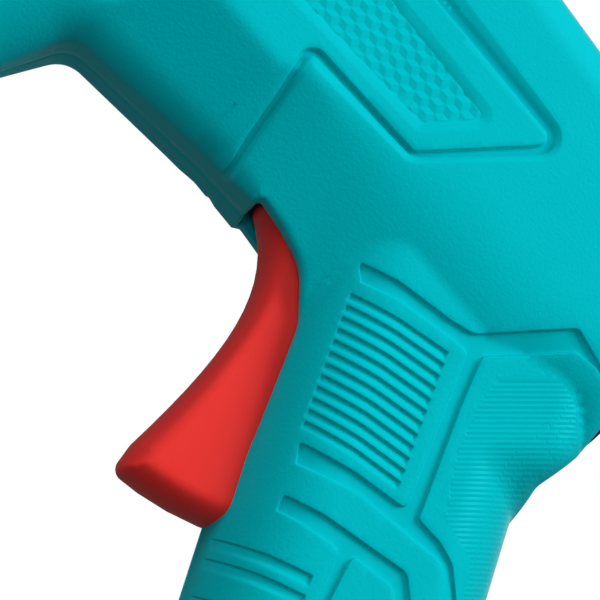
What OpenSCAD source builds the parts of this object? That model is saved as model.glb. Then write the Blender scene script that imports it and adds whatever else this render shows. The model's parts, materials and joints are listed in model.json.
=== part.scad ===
// Hot-melt glue gun: pistol grip, wedge-shaped barrel, fold-away wire stand.
// +X runs rearwards along the glue stick, +Z is up, and Y = 0 is the seam.
// The origin is the centre of the stick inlet on the rear face.

/* [Housing] */
// Width across the barrel
body_w = 36; // [32:1:40]
// Width across the handle
handle_w = 31; // [29:1:34]
// Depth of the handle from front to back
handle_depth = 36; // [33:1:38]
// Rake of the handle from the vertical
handle_rake = 30.6; // [28:0.1:32]
// Height of the stick axis above the surface the gun stands on
axis_height = 99; // [97:1:102]
// Wall thickness of the two shells
wall = 2; // [1.6:0.2:2.2]

/* [Glue path] */
// Radius of the bore that takes the glue stick
stick_bore_r = 6; // [5.8:0.1:6.1]
// Length of the straight inlet bore
inlet_len = 10; // [8:1:12]
// Length of the nozzle beyond the front collar
nozzle_reach = 36; // [28:1:40]

/* [Trigger] */
// Distance of the trigger pivot ahead of the inlet
pivot_ahead = 38; // [37:0.5:39]
// Depth of the trigger pivot below the stick axis
pivot_below = 16.5; // [16:0.5:17]
// Width of the trigger
trigger_w = 15; // [13:0.5:15]
// Radius of the trigger's lower edge about its pivot
trigger_reach = 40; // [38:0.5:41]
// Full swing of the trigger
trigger_swing = 18; // [12:1:18]

/* [Stand] */
// Diameter of the stand's wire
wire_d = 3.2; // [2.8:0.1:3.4]
// Forward lean of the stand when it is open
stand_lean = 12; // [8:1:16]

/* [Hidden] */

TEAL = [0, 0.69, 0.72];
RED = [0.9, 0.22, 0.2];
BLACK = [0.07, 0.07, 0.08];
BRASS = [0.79, 0.62, 0.3];
STEEL = [0.72, 0.73, 0.75];
GREY = [0.35, 0.36, 0.38];
CREAM = [0.85, 0.82, 0.74];

ROUND = 48;
SOFT = 24;
half_w = body_w / 2;
grip_w = handle_w / 2;
floor_z = -axis_height;
pad_h = 2.5;

// Rear face: a plane leaning forwards towards the top
rear_lean = 13;

// Handle: a slab between two lines that are square to this direction
rake_x = cos(handle_rake);
rake_z = sin(handle_rake);
handle_back = -7.7;
handle_front = handle_back - handle_depth;

// Chin, the block under the nose that carries the stand
chin_w = 14;
chin_x = -109;
chin_z = -38;
chin_r = 7;

// Front of the housing and of what is in it
nose_x = -122;
collar_len = 10;
nozzle_tip = nose_x - collar_len - nozzle_reach;
nose_bore_r = 14;

// Trigger and feed
pivot_x = -pivot_ahead;
pivot_z = -pivot_below;
pin_r = 2;
slot_w = trigger_w + 1;
trunnion_z = 4;
trunnion_r = 1.5;
arm_rise = trunnion_z - pivot_z;
arm_in = 8.4;
arm_out = 10.3;
hub_r = 3.2;
trunnion_x = pivot_x + arm_rise * tan(trigger_swing / 2);
feed_stroke = 2 * arm_rise * tan(trigger_swing / 2);
jaw_x = trunnion_x + 3;
jaw_z = 11.5;
jaw_pin_r = 1.2;

// Guide tube that the carriage slides on
guide_r = 6.95;
guide_bore_r = stick_bore_r + 0.15;
guide_front = -54;
guide_seat_r = 9.4;
carriage_front = trunnion_x - 7.8;
carriage_rear = trunnion_x + 6.2;

// Melt chamber
chamber_rear = -62;
chamber_front = -118;
chamber_r = 9;
spigot_r = 7.6;
saddle_z = -13;
heater_h = 3.2;

// Stand
wire_r = wire_d / 2;
stand_arm_y = 18.4;
stand_len = (chin_z - floor_z - wire_r) / cos(stand_lean);
stand_bend = 6;
pin_bend = 3;
pin_end = 10.2;

// Screws: [x, z, half width of the housing there]
SCREWS = [
    [-15, 14.2, half_w], [-63, 18, half_w], [-109, 19.5, half_w],
    [-91, -37, chin_w], [7, -62, grip_w], [19, -91, grip_w]
];
screw_r = 1.5;
screw_seat = 7;
screw_tip = 10;
head_r = 2.8;
boss_r = 3.4;

// Cord entry
gland_z = -82;
gland_r = 5.6;
gland_rear = 50;
gland_len = 20;
cord_bore_r = 3.6;
clamp_x = 25;

function handle_x(depth, z) = (depth - rake_z * z) / rake_x;
function rear_x(z, r) = -tan(rear_lean) * z - r / cos(rear_lean);

// ---- helpers ----

module along_x(x) {
    translate([x, 0, 0]) rotate([0, 90, 0]) children();
}

module along_y(x, z) {
    translate([x, 0, z]) rotate([90, 0, 0]) children();
}

// Rod along X from one place to another
module rod_x(from, to, r) {
    along_x(from) cylinder(h = to - from, r = r, $fn = ROUND);
}

// Rod along Y, centred on a point or between two y values
module rod_y(x, z, from, to, r) {
    translate([0, to, 0]) along_y(x, z) cylinder(h = to - from, r = r, $fn = ROUND);
}

// Ring turned about X from [x, radius] points
module turned(points) {
    rotate([0, 90, 0])
        rotate_extrude($fn = ROUND)
            polygon([for (p = points) [p[1], p[0]]]);
}

module block(low, high) {
    translate(low) cube(high - low);
}

// Side profile in X and Z, as thick as asked about the seam
module profile(points, thick) {
    along_y(0, 0)
        linear_extrude(height = thick, center = true)
            polygon(points);
}

module twin_spheres(x, y, z, r) {
    for (side = [-1, 1])
        translate([x, side * y, z]) sphere(r = r, $fn = SOFT);
}

// Tube of eight sides swept along a list of points
function ring_at(path, i, r) =
    let (
        n = len(path),
        d = path[min(i + 1, n - 1)] - path[max(i - 1, 0)],
        t = d / norm(d),
        up = abs(t[2]) < 0.9 ? [0, 0, 1] : [1, 0, 0],
        a = cross(t, up) / norm(cross(t, up)),
        b = cross(t, a)
    ) [for (k = [0:7]) path[i] + r * (a * cos(45 * k) + b * sin(45 * k))];

module swept(path, r) {
    n = len(path);
    rings = [for (i = [0:n - 1]) each ring_at(path, i, r)];
    sides = [
        for (i = [0:n - 2], k = [0:7])
            let (here = 8 * i + k, next = 8 * i + (k + 1) % 8)
            each [[here, next, next + 8], [here, next + 8, here + 8]]
    ];
    first = [for (k = [0:7]) 7 - k];
    last = [for (k = [0:7]) 8 * (n - 1) + k];
    polyhedron(points = rings, faces = concat([first], sides, [last]));
}

// Coil about the X axis
function coil_path(from, to, r, turns) =
    let (steps = turns * 14)
    [for (i = [0:steps]) [from + (to - from) * i / steps,
                          r * cos(360 * turns * i / steps),
                          r * sin(360 * turns * i / steps)]];

// ---- housing ----

module barrel_form(g) {
    hull() {
        twin_spheres(rear_x(14.3, 5) - g, half_w - 5 - g, 14.3 - g, 5);
        twin_spheres(rear_x(-11.2, 1.5) - g, half_w - 1.5 - g, -11.2, 1.5);
        twin_spheres(1.4 - g, 9 - g, -20.5 + g, 1.5);
        twin_spheres(-110, half_w - 5 - g, 23.4 - g, 5);
        twin_spheres(nose_x + 3.5 + g, half_w - 5 - g, 19 - g, 3.5);
        twin_spheres(nose_x + 1.5 + g, half_w - 1.5 - g, -11.2, 1.5);
        twin_spheres(nose_x + 3 + g, 9 - g, -26 + g, 1.5);
    }
}

module handle_form(g) {
    edge = 9;
    hull()
        for (depth = [handle_front + edge + g, handle_back - edge - g])
            for (z = [-20, floor_z - 12])
                twin_spheres(handle_x(depth, z), grip_w - edge - g, z, edge);
}

module chin_form(g) {
    hull() {
        rod_y(chin_x, chin_z, g - chin_w, chin_w - g, chin_r - 1.5 - g);
        rod_y(chin_x, chin_z, g + 1.5 - chin_w, chin_w - 1.5 - g, chin_r - g);
        twin_spheres(-84.5 - g, chin_w - 3 - g, -42 + g, 3);
        twin_spheres(-78.2 - g, chin_w - 3 - g, -24, 3);
        twin_spheres(-116 + g, chin_w - 3 - g, -22, 3);
    }
}

// Opening for the trigger; its lower edge is an arc about the pivot
module trigger_slot() {
    reach = trigger_reach + 0.5;
    arc = [for (a = [64:-4:48]) [pivot_x + reach * cos(a), pivot_z - reach * sin(a)]];
    profile(concat(
        [[-46.6, -19], [-46.6, -30], [-36, -62], [-24, -62]],
        arc,
        [[-24, -19]]
    ), slot_w);
}

module bosses(side) {
    for (s = SCREWS)
        rod_y(s[0], s[1], min(0, side * (s[2] - 1)), max(0, side * (s[2] - 1)), boss_r);
    rod_y(pivot_x, pivot_z, min(side * arm_out, side * 12.2),
          max(side * arm_out, side * 12.2), pin_r + 1.2);
    rod_y(chin_x, chin_z, min(side * 9, side * (chin_w - 0.5)),
          max(side * 9, side * (chin_w - 0.5)), wire_r + 2.4);
}

// Ribs that hold the guide tube's seat and the two insulators
module ribs(side) {
    for (rib = [[guide_front - 0.6, 9.6], [-68, 12.2], [-115.5, 13.7]])
        difference() {
            block([rib[0] - 1.5, min(side * 8, side * (half_w - 1)), -9],
                  [rib[0] + 1.5, max(side * 8, side * (half_w - 1)), 13]);
            rod_x(rib[0] - 2, rib[0] + 2, rib[1]);
        }
}

module cord_spigot() {
    rod_x(gland_rear - 12, gland_rear - 4, gland_r + 2.4);
}

module shell(side) {
    far = 200;
    intersection() {
        difference() {
            union() {
                difference() {
                    union() {
                        barrel_form(0);
                        handle_form(0);
                        chin_form(0);
                        translate([0, 0, gland_z]) cord_spigot();
                    }
                    barrel_form(wall);
                    handle_form(wall);
                    chin_form(wall);
                }
                bosses(side);
                ribs(side);
            }
            rod_x(-30, 20, 9.1);
            rod_x(nose_x - 10, nose_x + 4, nose_bore_r);
            trigger_slot();
            rod_y(pivot_x, pivot_z, -arm_out - 0.3, arm_out + 0.3, hub_r + 0.5);
            translate([0, 0, gland_z]) rod_x(gland_rear - 30, far, gland_r + 0.1);
            rod_y(pivot_x, pivot_z, -12.4, 12.4, pin_r + 0.02);
            for (way = [-1, 1])
                rod_y(chin_x, chin_z, min(way * (pin_end - 0.4), way * 30),
                      max(way * (pin_end - 0.4), way * 30), wire_r + 0.06);
            for (s = SCREWS) {
                rod_y(s[0], s[1], -screw_tip - 1, far, screw_r + 0.05);
                rod_y(s[0], s[1], screw_seat, far, head_r + 0.2);
            }
        }
        block([-far, min(0, side * far), floor_z + pad_h], [far, max(0, side * far), far]);
    }
}

module housing_left() {
    color(TEAL) shell(-1);
}

module housing_right() {
    color(TEAL) shell(1);
}

module housing_screws() {
    color(STEEL)
        for (s = SCREWS)
            difference() {
                union() {
                    rod_y(s[0], s[1], -screw_tip, screw_seat + 0.5, screw_r);
                    rod_y(s[0], s[1], screw_seat, screw_seat + 2, head_r);
                }
                for (turn = [0, 90])
                    translate([s[0], screw_seat + 2, s[1]]) rotate([0, turn, 0])
                        cube([3, 1.8, 0.7], center = true);
            }
}

module base_pad() {
    low = handle_x(handle_front, floor_z) + 3;
    high = handle_x(handle_back, floor_z) - 4.5;
    color(BLACK)
        translate([0, 0, floor_z])
            hull()
                for (x = [low + 8, high - 8], y = [-1, 1])
                    translate([x, y * (grip_w - 9.2), 0]) cylinder(h = pad_h, r = 8, $fn = SOFT);
}

// ---- trigger ----

// Front edge as a Bezier curve from the slot to the toe, then the lower arc
trigger_front = [[-45.6, -21.5], [-36.6, -25.5], [-34, -34], [-33.2, -53]];

function bezier(p, t) =
    pow(1 - t, 3) * p[0] + 3 * t * pow(1 - t, 2) * p[1] + 3 * t * t * (1 - t) * p[2]
    + pow(t, 3) * p[3];

function trigger_outline() = concat(
    [for (t = [0:0.1:1]) bezier(trigger_front, t)],
    [for (a = [80:-5:60]) [pivot_x + trigger_reach * cos(a), pivot_z - trigger_reach * sin(a)]],
    [[-14, -47], [-21, -32], [-29, -17], [-33, -11.5], [-41, -11.5], [-45, -17]]
);

module trigger_arm(side) {
    lean = trigger_swing / 2;
    slot_half = trunnion_r + 0.05;
    translate([pivot_x, side * (arm_in + arm_out) / 2, pivot_z]) rotate([0, lean, 0])
        difference() {
            block([-2.9, arm_in / 2 - arm_out / 2, 0],
                  [2.9, arm_out / 2 - arm_in / 2, arm_rise + 4]);
            block([-slot_half, -2, arm_rise - 2], [slot_half, 2, arm_rise + 2.2]);
        }
}

module trigger() {
    color(RED)
        difference() {
            union() {
                profile(trigger_outline(), trigger_w);
                rod_y(pivot_x, pivot_z, -arm_out, arm_out, hub_r);
                trigger_arm(-1);
                trigger_arm(1);
            }
            rod_y(pivot_x, pivot_z, -20, 20, pin_r + 0.05);
            profile([[-30, -47], [-20.5, -47.5], [-25, -36], [-30, -28]], trigger_w - 5);
        }
}

module trigger_pin() {
    color(STEEL) rod_y(pivot_x, pivot_z, -12.3, 12.3, pin_r);
}

// ---- feed ----

module feed_carriage() {
    flat_y = arm_in - 0.3;
    window = 3.2;
    color(GREY)
        difference() {
            union() {
                intersection() {
                    rod_x(carriage_front, carriage_rear, 9);
                    block([-70, -flat_y, -8.6], [0, flat_y, 9]);
                }
                block([jaw_x - 3, -window - 2, 5], [jaw_x + 3, window + 2, jaw_z + 2.6]);
                rod_y(trunnion_x, trunnion_z, -arm_out, arm_out, trunnion_r);
            }
            rod_x(-80, 0, guide_r + 0.05);
            block([carriage_front + 2, -window, 4], [carriage_rear - 1, window, 20]);
            block([carriage_front - 1, -window, jaw_z - 2.7], [carriage_rear + 1, window, 20]);
            rod_y(jaw_x, jaw_z, -20, 20, jaw_pin_r + 0.02);
        }
}

module feed_jaw() {
    tip_x = jaw_x - 8;
    color(STEEL)
        difference() {
            union() {
                rod_y(jaw_x, jaw_z, -2.9, 2.9, 2.4);
                profile([
                    [jaw_x + 1, jaw_z + 2.2], [tip_x + 1, jaw_z - 1], [tip_x - 0.6, stick_bore_r + 0.6],
                    [tip_x + 0.5, stick_bore_r + 0.25], [tip_x + 1.4, stick_bore_r + 1],
                    [tip_x + 2.3, stick_bore_r + 0.5], [tip_x + 3.6, stick_bore_r + 1.6],
                    [jaw_x + 1, jaw_z - 2.2]
                ], 5.8);
            }
            rod_y(jaw_x, jaw_z, -10, 10, jaw_pin_r + 0.05);
        }
}

module jaw_pin() {
    color(STEEL) rod_y(jaw_x, jaw_z, -5.2, 5.2, jaw_pin_r);
}

module return_spring() {
    color(STEEL) swept(coil_path(guide_front + 0.5, carriage_front - 0.5, 7.7, 5), 0.4);
}

module stick_guide() {
    seat = 1.2;
    color(GREY)
        difference() {
            union() {
                rod_x(guide_front - seat, -inlet_len - 0.1, guide_r);
                rod_x(guide_front - seat, guide_front, guide_seat_r);
            }
            rod_x(-80, 0, guide_bore_r);
            block([jaw_x - 8 - feed_stroke - 4, -3.3, 3], [jaw_x + 3, 3.3, 12]);
        }
}

module inlet_ring() {
    socket_r = guide_r + 0.05;
    color(BLACK)
        difference() {
            union() {
                rod_x(-inlet_len - 4, 0, 9);
                rotate([0, -rear_lean, 0]) {
                    along_x(0) cylinder(h = 1, r = 11.6, $fn = ROUND);
                    along_x(1) cylinder(h = 0.9, r1 = 11.6, r2 = 10.6, $fn = ROUND);
                }
            }
            rod_x(-40, 20, stick_bore_r);
            rod_x(-40, -inlet_len, socket_r);
        }
}

// ---- melting end ----

module inlet_sleeve() {
    color(RED)
        turned([
            [chamber_rear - 4, spigot_r], [chamber_rear, spigot_r], [chamber_rear, stick_bore_r - 0.1],
            [guide_front - 1.4, stick_bore_r - 0.1], [guide_front - 1.4, 8.6],
            [chamber_rear + 1, 9.5], [chamber_rear - 4, 9.5]
        ]);
}

module melt_chamber() {
    color(STEEL)
        difference() {
            union() {
                turned([
                    [chamber_rear, 0], [chamber_rear, spigot_r], [chamber_rear - 8, spigot_r],
                    [chamber_rear - 8, chamber_r], [chamber_front, chamber_r], [chamber_front, 0]
                ]);
                block([-104, -6.5, saddle_z], [-76, 6.5, 0]);
            }
            turned([
                [chamber_rear + 1, 0], [chamber_rear + 1, stick_bore_r + 0.1],
                [-98, stick_bore_r + 0.1], [-108, 3], [chamber_front - 1, 3], [chamber_front - 1, 0]
            ]);
            rod_x(chamber_front - 1, chamber_front + 8, 4.5);
        }
}

module heater_element() {
    color(CREAM) block([-102, -6, saddle_z - heater_h], [-78, 6, saddle_z]);
}

module heater_clip() {
    under = saddle_z - heater_h;
    color(STEEL)
        difference() {
            block([-98, -8, under - 1], [-82, 8, -9]);
            block([-99, -6.6, under], [-81, 6.6, -8]);
        }
}

module rear_insulator() {
    color(CREAM)
        turned([
            [chamber_rear - 8, spigot_r], [chamber_rear - 4, spigot_r],
            [chamber_rear - 4, 12], [chamber_rear - 8, 12]
        ]);
}

module front_insulator() {
    color(CREAM)
        turned([
            [chamber_front + 0.5, chamber_r], [chamber_front + 4.5, chamber_r],
            [chamber_front + 4.5, 13.5], [chamber_front + 0.5, 13.5]
        ]);
}

module nozzle() {
    hex_r = 7.5;
    color(BRASS)
        difference() {
            union() {
                turned([
                    [chamber_front + 7.5, 0], [chamber_front + 7.5, 4.5], [chamber_front - 4, 4.5],
                    [chamber_front - 4, 6.4], [nose_x - 12, 6.4], [nose_x - 14, 5.6],
                    [nozzle_tip + 14, 4.2], [nozzle_tip + 11, 2.6], [nozzle_tip, 1.7],
                    [nozzle_tip, 0]
                ]);
                along_x(nose_x - 5) cylinder(h = 5, r = hex_r, $fn = 6);
            }
            turned([
                [chamber_front + 8, 0], [chamber_front + 8, 3], [nose_x - 12, 3], [nose_x - 14, 1],
                [nozzle_tip - 1, 1], [nozzle_tip - 1, 0]
            ]);
        }
}

module nozzle_boot() {
    front = nozzle_tip + 11.5;
    color(BLACK)
        turned([
            [nose_x - 6, 6.6], [nose_x - 12, 6.6], [nose_x - 14, 5.8], [nozzle_tip + 14, 4.4],
            [front, 3.1], [front, 5.4], [nozzle_tip + 15, 6.8], [nose_x - 13, 8.8],
            [nose_x - 6, 9.4]
        ]);
}

module valve_ball() {
    color(STEEL) translate([nose_x - 3, 0, 0]) sphere(r = 2.2, $fn = SOFT);
}

module valve_spring() {
    color(STEEL) swept(coil_path(nose_x - 11.5, nose_x - 5.8, 2, 4), 0.3);
}

module front_collar() {
    bore = 10;
    color(BLACK)
        turned([
            [nose_x + 3.5, bore], [nose_x + 3.5, nose_bore_r - 0.1], [nose_x, nose_bore_r - 0.1],
            [nose_x, 16.6], [nose_x - 4, 16.6], [nose_x - 5.5, 15.6],
            [nose_x - collar_len, 12.6], [nose_x - collar_len, bore]
        ]);
}

// ---- stand ----

// A quarter bend of wire in the plane of the frame, turned to the angle asked
module wire_bend(y, z, bend, turn) {
    translate([0, y, z]) rotate([turn, 0, 0]) rotate([0, 90, 0])
        rotate_extrude(angle = 90, $fn = ROUND)
            translate([bend, 0]) circle(r = wire_r, $fn = SOFT);
}

module stand_bail() {
    arm_top = -pin_bend;
    arm_low = -stand_len + stand_bend;
    color(STEEL)
        translate([chin_x, 0, chin_z]) rotate([0, stand_lean, 0]) {
            for (side = [-1, 1]) {
                rod_y(0, 0, min(side * pin_end, side * (stand_arm_y - pin_bend)),
                      max(side * pin_end, side * (stand_arm_y - pin_bend)), wire_r);
                translate([0, side * stand_arm_y, arm_low])
                    cylinder(h = arm_top - arm_low, r = wire_r, $fn = ROUND);
                mirror([0, side < 0 ? 1 : 0, 0]) {
                    wire_bend(stand_arm_y - pin_bend, arm_top, pin_bend, 90);
                    wire_bend(stand_arm_y - stand_bend, arm_low, stand_bend, 0);
                }
            }
            rod_y(0, -stand_len, stand_bend - stand_arm_y, stand_arm_y - stand_bend, wire_r);
        }
}

// ---- cord entry and wiring ----

module cord_gland() {
    front = gland_rear - gland_len;
    color(BLACK)
        translate([0, 0, gland_z])
            turned([
                [front, cord_bore_r], [front, gland_r + 1.6], [front + 2, gland_r + 1.6],
                [front + 2, gland_r], [gland_rear - 4, gland_r], [gland_rear - 4, gland_r + 2.2],
                [gland_rear - 2.5, gland_r + 2.2], [gland_rear, gland_r + 0.6],
                [gland_rear, cord_bore_r]
            ]);
}

module cord_clamp() {
    color(GREY)
        difference() {
            block([clamp_x - 2.5, -11, gland_z - 5.5], [clamp_x + 2.5, 11, gland_z + 6]);
            translate([0, 0, gland_z]) rod_x(0, 60, cord_bore_r + 0.2);
            for (side = [-1, 1])
                translate([clamp_x, side * 8, gland_z - 8]) cylinder(h = 20, r = 1.3, $fn = ROUND);
        }
}

module clamp_screws() {
    color(STEEL)
        for (side = [-1, 1])
            translate([clamp_x, side * 8, 0]) {
                translate([0, 0, gland_z - 5]) cylinder(h = 11.5, r = 1.25, $fn = ROUND);
                translate([0, 0, gland_z + 6]) cylinder(h = 1.6, r = 2.4, $fn = ROUND);
            }
}

module terminal_block() {
    low = [9, -6, -80];
    color(CREAM)
        difference() {
            block(low, low + [12, 12, 8]);
            for (side = [-1, 1]) {
                translate([15, side * 3, -76]) rotate([0, 90, 0])
                    cylinder(h = 20, r = 1.6, center = true, $fn = ROUND);
                translate([15, side * 3, -74]) cylinder(h = 10, r = 1.3, $fn = ROUND);
            }
        }
}

// Each lead leaves the heater, passes outside the trigger's fork on the screw side and runs
// down the handle. The second lead lies above the first, and beside it at both ends.
function lead_route(up, aside, end_y) =
    let (
        start = [[-77.9, 4.6, -14.6], [-73, 5.4, -15]],
        middle = [
            [-66, 8, -15.5], [-58, 10, -14.6], [-50, 11.6, -12.4], [-44, 12.4, -10.5],
            [-36, 12.6, -9.5], [-28, 12.2, -11], [-20, 11.2, -15]
        ],
        turn = [[-12, 11, -22]],
        handle = [[-5, 11, -32], [1, 10, -44], [7, 8.5, -53], [12.5, 6.5, -60]]
    )
    concat(
        [for (p = start) p + [0, aside, 0]],
        [for (p = middle) p + [0, 0, up]],
        [for (p = turn) p + [0.7 * up, 0.5 * aside, 0.7 * up]],
        [for (p = handle) p + [0, aside, 0]],
        [[15, 0.5 * end_y + 2.5, -66], [15, end_y, -69.5], [15, end_y, -71.9]]
    );

module lead_wire_live() {
    color([0.45, 0.25, 0.12]) swept(lead_route(0, 0, 3), 0.9);
}

module lead_wire_neutral() {
    color([0.1, 0.3, 0.7]) swept(lead_route(2.6, -2.8, -3), 0.9);
}

housing_left();
housing_right();
housing_screws();
trigger();
trigger_pin();
feed_carriage();
feed_jaw();
jaw_pin();
return_spring();
stick_guide();
inlet_ring();
inlet_sleeve();
melt_chamber();
heater_element();
heater_clip();
rear_insulator();
front_insulator();
nozzle();
nozzle_boot();
valve_ball();
valve_spring();
front_collar();
stand_bail();
cord_gland();
cord_clamp();
clamp_screws();
terminal_block();
lead_wire_live();
lead_wire_neutral();
base_pad();
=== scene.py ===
"""Looks of the hot-melt glue gun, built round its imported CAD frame.

Lengths in the shape code are millimetres in the CAD frame: +X rearwards, +Z up and Y = 0 the seam.
They become metres when a mesh is made.
"""

import json
import math
from collections import namedtuple

import bmesh
import bpy
import numpy as np
from mathutils import Matrix, Vector
from mathutils.geometry import delaunay_2d_cdt


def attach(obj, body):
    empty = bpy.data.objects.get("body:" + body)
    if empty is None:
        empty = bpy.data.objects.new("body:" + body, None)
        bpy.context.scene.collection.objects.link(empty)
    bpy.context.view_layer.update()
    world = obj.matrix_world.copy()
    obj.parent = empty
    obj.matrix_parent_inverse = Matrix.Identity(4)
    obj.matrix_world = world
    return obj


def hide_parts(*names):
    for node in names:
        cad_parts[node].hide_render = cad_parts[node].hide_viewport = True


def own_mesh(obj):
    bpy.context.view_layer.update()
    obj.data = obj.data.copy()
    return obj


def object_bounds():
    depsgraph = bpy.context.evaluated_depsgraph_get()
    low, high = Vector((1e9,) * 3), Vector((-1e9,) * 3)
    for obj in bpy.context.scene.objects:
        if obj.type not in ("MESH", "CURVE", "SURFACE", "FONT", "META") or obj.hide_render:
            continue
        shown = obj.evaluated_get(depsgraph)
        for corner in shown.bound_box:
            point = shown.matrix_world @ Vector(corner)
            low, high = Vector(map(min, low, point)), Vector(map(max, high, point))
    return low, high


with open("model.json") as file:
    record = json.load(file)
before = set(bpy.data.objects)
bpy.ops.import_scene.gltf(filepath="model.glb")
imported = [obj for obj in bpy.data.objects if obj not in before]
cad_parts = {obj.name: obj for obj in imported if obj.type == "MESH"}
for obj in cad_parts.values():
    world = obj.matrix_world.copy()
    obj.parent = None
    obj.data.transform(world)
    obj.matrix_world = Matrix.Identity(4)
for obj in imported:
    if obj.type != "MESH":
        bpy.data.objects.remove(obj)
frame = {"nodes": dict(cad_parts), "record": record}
cad_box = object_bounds()

MM = 0.001

# Camera: it looks at a point beside the trigger, from the -Y side and a little below, rolled
AIM = (-33.1, 0.0, -24.6)
CAMERA_DISTANCE = 340.0
CAMERA_RISE = math.radians(12)
CAMERA_ROLL = math.radians(49.1)
SENSOR = 36.0
VIEW_WIDTH = 75.0

# Housing: widths at each side of the seam
BARREL_W = 18.0
GRIP_W = 15.5
CHIN_W = 14.0
RAKE = math.radians(30.6)
GRIP_FRONT_FLAT, GRIP_BACK_FLAT = -31.0, -17.7
GRIP_FRONT_BULGE, GRIP_BACK_BULGE = 12.7, 10.0
FLANK_SLOPE = 0.58
REAR_SLOPE, FRONT_FLARE = 0.7, 0.1
GRIP_BLEND = 2.4
HEEL_LOW, HEEL_RISE, HEEL_REACH = -24.5, 10.0, 8.0
CHIN_TAPER = 0.42
CHIN_ROUND = 7.0
WALL = 2.0
SEAM_GAP, SEAM_BEVEL = 0.03, 0.12
SLOT_HALF = 8.05
INLET_R = 9.1
NOSE_BORE_R = 14.0
NOSE_X = -122.0

# Spacing of mesh points
FILLER = 0.8
ALONG = 0.3
COARSE = 3.0
SLIVER = 0.0001
CHUNK = 4000
FILLER_GAP = 0.35 * FILLER

# Trigger
TRIGGER_HALF = 7.5
PIVOT = (-38.0, -16.5)
TRIGGER_REACH = 40.4

# Screws on the +Y side: x, z
SCREWS = [(-15, 14.2), (-63, 18), (-109, 19.5), (-91, -37), (7, -62), (19, -91)]
SCREW_WELL_R = 3.0
SCREW_WELL_ROWS = (SCREW_WELL_R + 0.35, SCREW_WELL_R, SCREW_WELL_R - 0.03, 1.6)
SCREW_SEAT = 7.0
SCREW_BOSS_ROWS, SCREW_BOSS_R = (4.4, 4.7), 4.5


# ---- plane outlines ----

NEARLY_STRAIGHT = 3.12
FILLET_SHARE = 0.49


def unit(v):
    return v / np.linalg.norm(v)


def fillet(a, b, c, radius, step):
    """Points of the round corner at b, between a and c."""
    u, v = unit(a - b), unit(c - b)
    angle = math.acos(np.clip(u @ v, -1, 1))
    if radius <= 0 or angle > NEARLY_STRAIGHT:
        return [b]
    room = FILLET_SHARE * min(np.linalg.norm(a - b), np.linalg.norm(c - b))
    reach = min(radius / math.tan(angle / 2), room)
    radius = reach * math.tan(angle / 2)
    centre = b + unit(u + v) * radius / math.sin(angle / 2)
    spoke = b + u * reach - centre
    last = b + v * reach - centre
    turn = math.copysign(math.pi - angle, spoke[0] * last[1] - spoke[1] * last[0])
    count = max(4, math.ceil(radius * abs(turn) / step))
    across = np.array([-spoke[1], spoke[0]])
    angles = np.linspace(0, turn, count + 1)
    return [centre + (math.cos(t) * spoke + math.sin(t) * across) for t in angles]


def outline(corners, step=0.3, spare=()):
    """Closed outline through corners (x, z, fillet radius, carried values...)."""
    pad = list(spare)
    rows = [list(c) + pad[len(c) - 3 :] for c in corners]
    places = [np.array(r[:2], float) for r in rows]
    points = []
    for i, row in enumerate(rows):
        a, c = places[i - 1], places[(i + 1) % len(rows)]
        for p in fillet(a, places[i], c, row[2], step):
            points.append([*p, *row[3:]])
    return np.array(points, float)


def spaced(shape, step):
    """The same closed outline with a point at least every step along it."""
    ahead = np.roll(shape, -1, 0)
    parts = []
    for a, b in zip(shape, ahead):
        count = max(1, math.ceil(np.linalg.norm((b - a)[:2]) / step))
        t = np.arange(count)[:, None] / count
        parts.append(a + (b - a) * t)
    return np.concatenate(parts)


def area_sign(shape):
    x, z = shape[:, 0], shape[:, 1]
    return np.sign(np.sum(x * np.roll(z, -1) - np.roll(x, -1) * z))


def inward(shape):
    """Unit normals of a closed outline, pointing inside."""
    along = np.roll(shape[:, :2], -1, 0) - shape[:, :2]
    along /= np.maximum(np.linalg.norm(along, axis=1), 1e-9)[:, None]
    mean = along + np.roll(along, 1, 0)
    mean /= np.maximum(np.linalg.norm(mean, axis=1), 1e-9)[:, None]
    return np.stack([-mean[:, 1], mean[:, 0]], 1) * area_sign(shape)


def nearest(points, shape):
    """Distance of points to a closed outline, positive inside, and the values carried there."""
    a, b = shape, np.roll(shape, -1, 0)
    edge = (b - a)[:, :2]
    length2 = np.maximum((edge**2).sum(1), 1e-12)
    rise = np.where(np.abs(edge[:, 1]) < 1e-12, 1e-12, edge[:, 1])
    distance = np.zeros(len(points))
    carried = np.zeros((len(points), shape.shape[1] - 2))
    for start in range(0, len(points), CHUNK):
        part = slice(start, start + CHUNK)
        p = points[part]
        rel = p[:, None, :] - a[None, :, :2]
        t = np.clip((rel * edge).sum(2) / length2, 0, 1)
        gap2 = ((rel - t[..., None] * edge) ** 2).sum(2)
        k = gap2.argmin(1)
        rows = np.arange(len(p))
        crosses = (a[:, 1] > p[:, 1:2]) != (b[:, 1] > p[:, 1:2])
        left = p[:, :1] < a[:, 0] + edge[:, 0] * (p[:, 1:2] - a[:, 1]) / rise
        inside = (crosses & left).sum(1) % 2 == 1
        distance[part] = np.sqrt(gap2[rows, k]) * np.where(inside, 1, -1)
        share = t[rows, k][:, None]
        carried[part] = a[k, 2:] * (1 - share) + b[k, 2:] * share
    return distance, carried


def near_box(points, shape, reach):
    low = shape[:, :2].min(0) - reach
    high = shape[:, :2].max(0) + reach
    return ((points > low) & (points < high)).all(1)


def box_corners(shape):
    low, high = shape[:, :2].min(0), shape[:, :2].max(0)
    return np.array([[x, z] for x in (low[0], high[0]) for z in (low[1], high[1])])


def loop_edges(count, first=0):
    return [(first + i, first + (i + 1) % count) for i in range(count)]


def closest(points, targets):
    """Number of the target nearest to each point."""
    return np.array([np.argmin(((targets - q) ** 2).sum(1)) for q in points])


def circle(count):
    angles = np.linspace(0, 2 * math.pi, count + 1)[:-1]
    return np.stack([np.cos(angles), np.sin(angles)], 1)


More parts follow.
